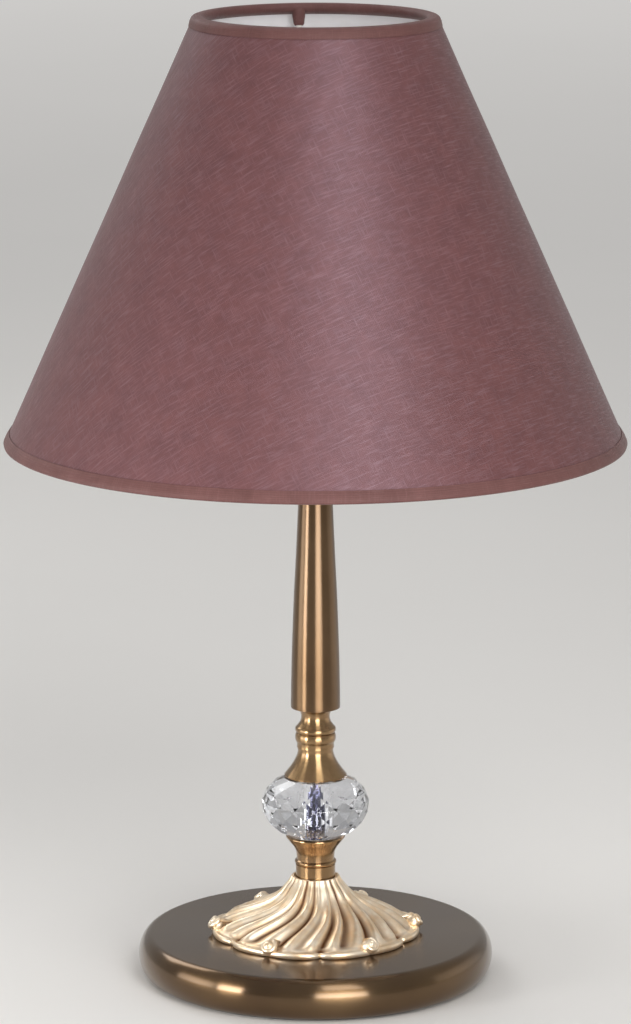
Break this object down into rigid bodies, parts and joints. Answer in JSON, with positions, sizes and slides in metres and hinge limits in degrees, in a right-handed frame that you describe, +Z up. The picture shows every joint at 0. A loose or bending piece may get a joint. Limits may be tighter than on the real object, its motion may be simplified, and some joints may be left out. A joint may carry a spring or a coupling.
{
  "type": "table lamp",
  "caption": "Table lamp with a round rimmed base, swirled leaf rosette, cut glass ball, tapered bronze stem and a cone fabric shade on a wire frame.",
  "frame": {"origin": "centre of the lamp's foot, on the surface it stands on", "axes": "+Z up along the stem's axis, -Y towards the viewer of the picture, +Y towards the cable inlet"},
  "size_m": [0.32, 0.32, 0.5005],
  "materials": {
    "bronze_satin": "satin bronze plate",
    "bronze_polished": "polished bronze plate",
    "cast_gold": "satin pale gold cast",
    "steel_zinc": "zinc plated",
    "iron_weight": "raw cast",
    "contact_brass": "plain",
    "holder_black": "moulded",
    "insert_white": "moulded",
    "gasket_clear": "soft sheet",
    "felt_dark": "felt",
    "hardboard": "pressed board",
    "crystal_clear": "cut and polished",
    "bulb_opal": "opal",
    "wire_white": "white powder coat",
    "fabric_cocoa": "woven, satin sheen",
    "tape_cocoa": "woven tape",
    "lining_white": "smooth sheet"
  },
  "bodies": {
    "stand": {"felt_pad": "felt_dark", "base_board": "hardboard", "base_shell": "bronze_satin", "cable_bushing": "holder_black", "base_weight": "iron_weight", "base_washer": "steel_zinc", "base_nut": "steel_zinc", "threaded_rod": "steel_zinc", "rosette": "cast_gold", "lower_collar": "bronze_polished", "crystal": "crystal_clear", "crystal_gasket_lower": "gasket_clear", "crystal_gasket_upper": "gasket_clear", "bell_cup": "bronze_polished", "neck_collar": "bronze_polished", "stem_tube": "bronze_satin", "stem_plug": "bronze_satin", "stem_cap": "bronze_polished", "holder_cap": "holder_black", "holder_body": "holder_black", "holder_insert": "insert_white", "holder_contact": "contact_brass", "holder_sleeve": "contact_brass", "shade_ring_lower": "holder_black", "shade_ring_upper": "holder_black"},
    "shade": {"shade_cover": "fabric_cocoa", "shade_lining": "lining_white", "top_trim": "tape_cocoa", "bottom_trim": "tape_cocoa", "shade_frame": "wire_white", "bottom_wire": "wire_white"},
    "bulb_lift": {"bulb_tip": "steel_zinc"},
    "bulb": {"bulb_cap": "steel_zinc", "bulb_glass": "bulb_opal"}
  },
  "joints": [
    {"name": "shade_turn", "type": "hinge", "parent": "stand", "child": "shade", "pos_m": [0, 0, 0.3472], "axis": [0, 0, 1], "continuous": true},
    {"name": "bulb_rise", "type": "slide", "parent": "stand", "child": "bulb_lift", "axis": [0, 0, 1], "range_m": [0, 0.0156]},
    {"name": "bulb_turn", "type": "hinge", "parent": "bulb_lift", "child": "bulb", "pos_m": [0, 0, 0.3395], "axis": [0, 0, 1], "range_deg": [0, 1980]}
  ],
  "couplings": [
    {"joint": "bulb_rise", "follows": "bulb_turn", "m_per_rad": 0.00044914}
  ]
}
